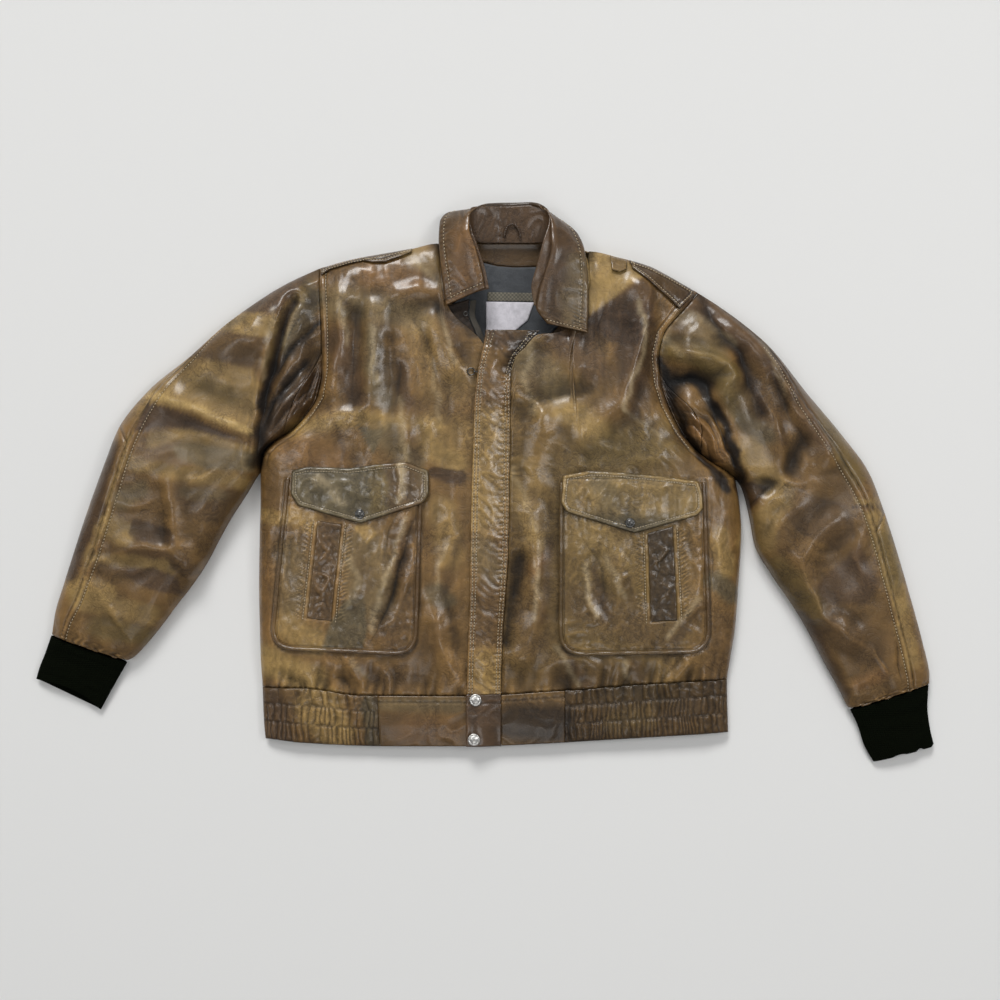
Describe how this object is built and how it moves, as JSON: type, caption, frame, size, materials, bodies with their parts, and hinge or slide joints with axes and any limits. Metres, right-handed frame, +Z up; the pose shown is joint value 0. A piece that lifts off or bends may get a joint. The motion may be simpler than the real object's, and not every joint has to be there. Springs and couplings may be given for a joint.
{
  "type": "worn leather flight jacket laid flat",
  "caption": "Closed leather flight jacket laid flat on its back, with shirt collar, storm flap over the zip, flap pockets, elastic waistband and rib cuffs.",
  "frame": {"origin": "on the surface it lies on, under the middle of the jacket's outline", "axes": "+X towards the wearer's left sleeve, +Y towards the collar, +Z up from the surface, out of the jacket's front"},
  "size_m": [1.138, 0.704, 0.0488],
  "materials": {
    "worn_leather": "glossy worn leather, mottled khaki and olive brown, creased",
    "dark_leather": "glossy worn leather, dark brown",
    "collar_leather": "glossy worn leather, orange tan to grey brown",
    "rib_knit": "matt black-green rib knit",
    "lining_cloth": "smooth blue-grey lining",
    "label_cloth": "plain woven satin, bare",
    "woven_tape": "woven tape",
    "nickel": "polished, slightly worn"
  },
  "bodies": {
    "jacket": {"back": "worn_leather", "back_facing": "dark_leather", "band_snap_1": "nickel", "band_snap_2": "nickel", "collar": "collar_leather", "collar_hook": "nickel", "collar_stand": "dark_leather", "cuff_left": "rib_knit", "cuff_right": "rib_knit", "epaulette_keeper_left": "dark_leather", "epaulette_left": "dark_leather", "epaulette_right": "dark_leather", "front_left": "worn_leather", "front_right": "worn_leather", "hanger_loop": "dark_leather", "label": "label_cloth", "label_tape": "woven_tape", "neck_facing_right": "dark_leather", "neck_lining": "lining_cloth", "pocket_flap_left": "worn_leather", "pocket_flap_right": "worn_leather", "pocket_patch_left": "worn_leather", "pocket_patch_right": "worn_leather", "pocket_piping_left": "dark_leather", "pocket_piping_right": "dark_leather", "pocket_snap_left": "nickel", "pocket_snap_right": "nickel", "pocket_welt_left": "worn_leather", "pocket_welt_right": "worn_leather", "sleeve_top_left": "worn_leather", "sleeve_top_right": "worn_leather", "sleeve_under_lower_left": "worn_leather", "sleeve_under_lower_right": "worn_leather", "sleeve_under_upper_left": "worn_leather", "sleeve_under_upper_right": "worn_leather", "storm_flap": "worn_leather", "storm_flap_end": "worn_leather", "underarm_gusset_left": "dark_leather", "underarm_gusset_right": "dark_leather", "waistband_back": "worn_leather", "waistband_gathered_left": "worn_leather", "waistband_gathered_right": "worn_leather", "waistband_tab_left": "worn_leather", "waistband_tab_right": "worn_leather", "zip_slider": "nickel", "zip_tab": "nickel", "zip_tape": "woven_tape", "zip_tape_end": "woven_tape", "zip_teeth": "nickel"},
    "zip_ring": {"zip_pull_ring": "nickel"}
  },
  "joints": [
    {"name": "pull_ring_hinge", "type": "hinge", "parent": "jacket", "child": "zip_ring", "pos_m": [-0.0128, 0.139, 0.04025], "axis": [0, 1, 0], "range_deg": [0, 100]}
  ]
}
